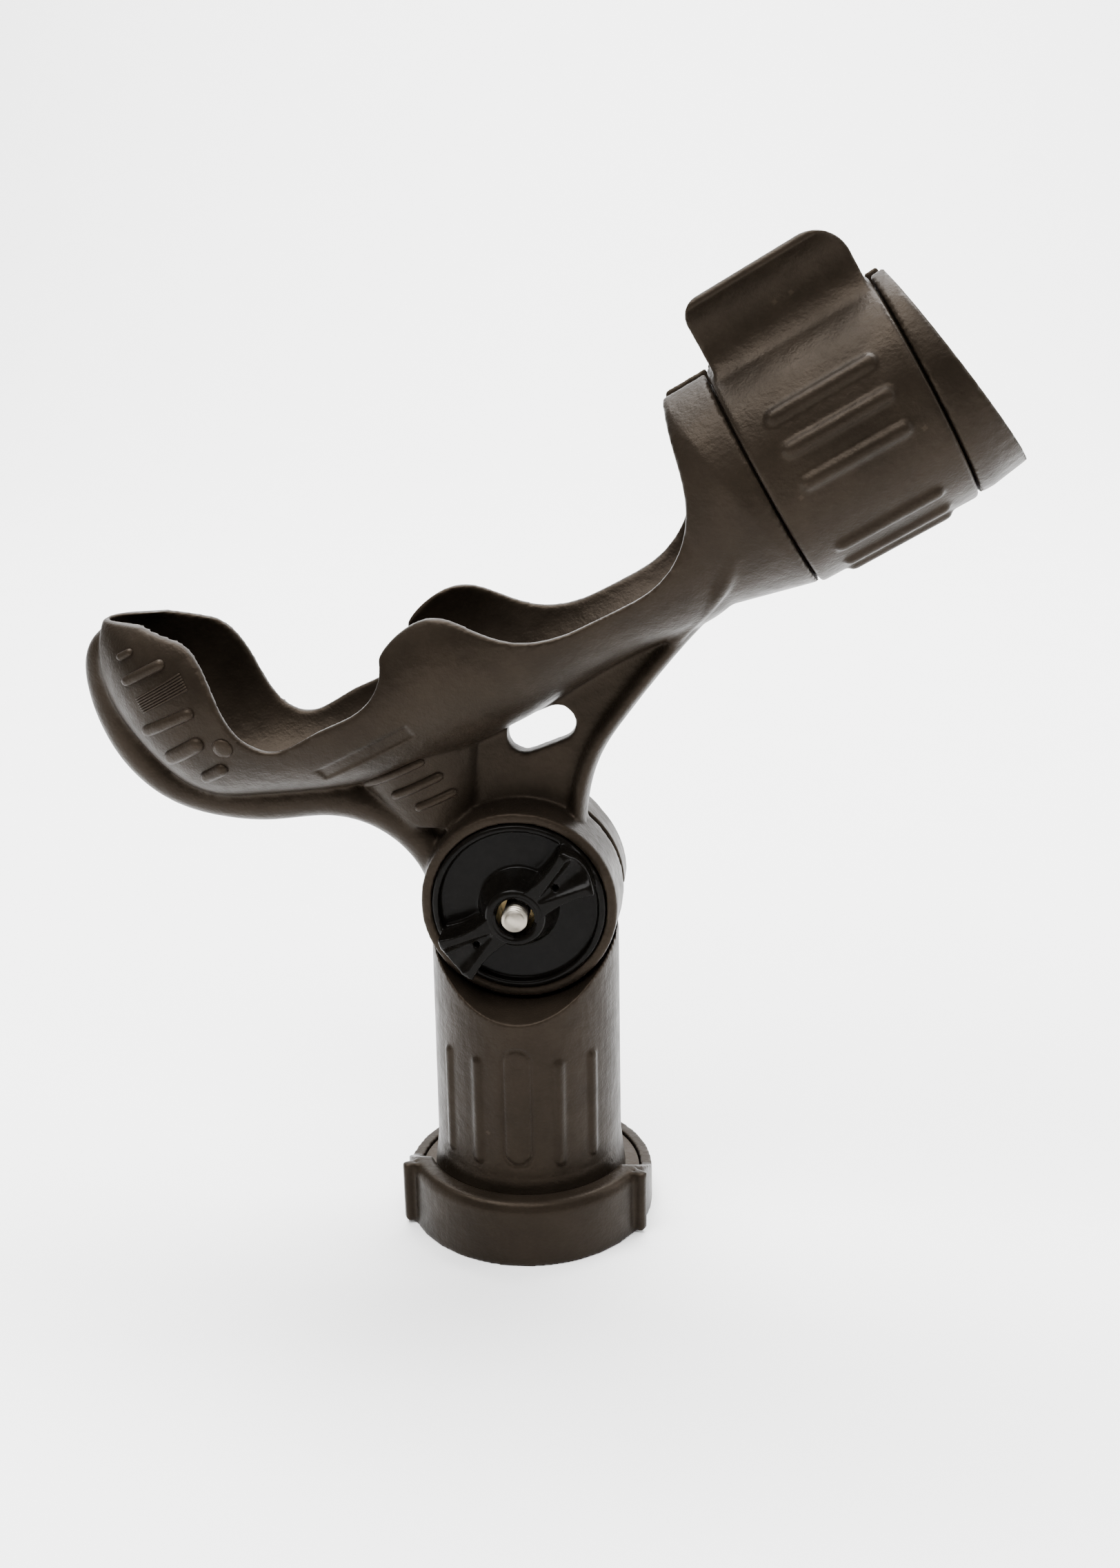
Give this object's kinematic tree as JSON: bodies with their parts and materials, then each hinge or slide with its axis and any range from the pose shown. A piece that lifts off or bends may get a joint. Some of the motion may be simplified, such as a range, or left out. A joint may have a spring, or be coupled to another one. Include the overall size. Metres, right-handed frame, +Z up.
{
  "type": "fishing rod holder",
  "caption": "Post-mounted fishing rod holder: tilting cradle with slotted rod tube, rotating locking collar, winged tilt knob and quarter-turn foot ring.",
  "frame": {"origin": "centre of the open foot of the post, on the plane of the lock ring's lower rim", "axes": "+Z up the post, +X towards the mouth of the rod tube, -Y towards the tilt knob"},
  "size_m": [0.2793, 0.0812, 0.307],
  "materials": {
    "moulded_nylon": "fine-grained satin black nylon",
    "knob_plastic": "smooth gloss black",
    "bolt_steel": "bright stainless",
    "nut_brass": "plain turned brass",
    "spring_steel": "drawn spring wire"
  },
  "bodies": {
    "post": {"post": "moulded_nylon", "tilt_bolt": "bolt_steel", "tilt_spring": "spring_steel", "ring_retainer": "moulded_nylon", "ring_spring": "spring_steel"},
    "cradle": {"cradle": "moulded_nylon"},
    "collar": {"locking_collar": "moulded_nylon"},
    "knob_washer": {"knob_washer": "bolt_steel"},
    "knob": {"tilt_knob": "knob_plastic", "knob_nut": "nut_brass"},
    "lock_ring": {"lock_ring": "moulded_nylon"}
  },
  "joints": [
    {"name": "cradle_tilt", "type": "hinge", "parent": "post", "child": "cradle", "pos_m": [0, 0, 0.112], "axis": [0, 1, 0], "range_deg": [-22, 70]},
    {"name": "collar_turn", "type": "hinge", "parent": "cradle", "child": "collar", "pos_m": [0.09252, 0, 0.25375], "axis": [0.866, 0, 0.5], "range_deg": [0, 100]},
    {"name": "knob_advance", "type": "slide", "parent": "post", "child": "knob_washer", "axis": [0, -1, 0], "range_m": [0, 0.0045]},
    {"name": "knob_turn", "type": "hinge", "parent": "knob_washer", "child": "knob", "pos_m": [0, -0.012, 0.112], "axis": [0, -1, 0], "range_deg": [0, 1080]},
    {"name": "lock_ring_turn", "type": "hinge", "parent": "post", "child": "lock_ring", "pos_m": [0, 0, 0.011], "axis": [0, 0, 1], "range_deg": [0, 60]}
  ],
  "couplings": [
    {"joint": "knob_advance", "follows": "knob_turn", "m_per_rad": 0.00022457}
  ]
}
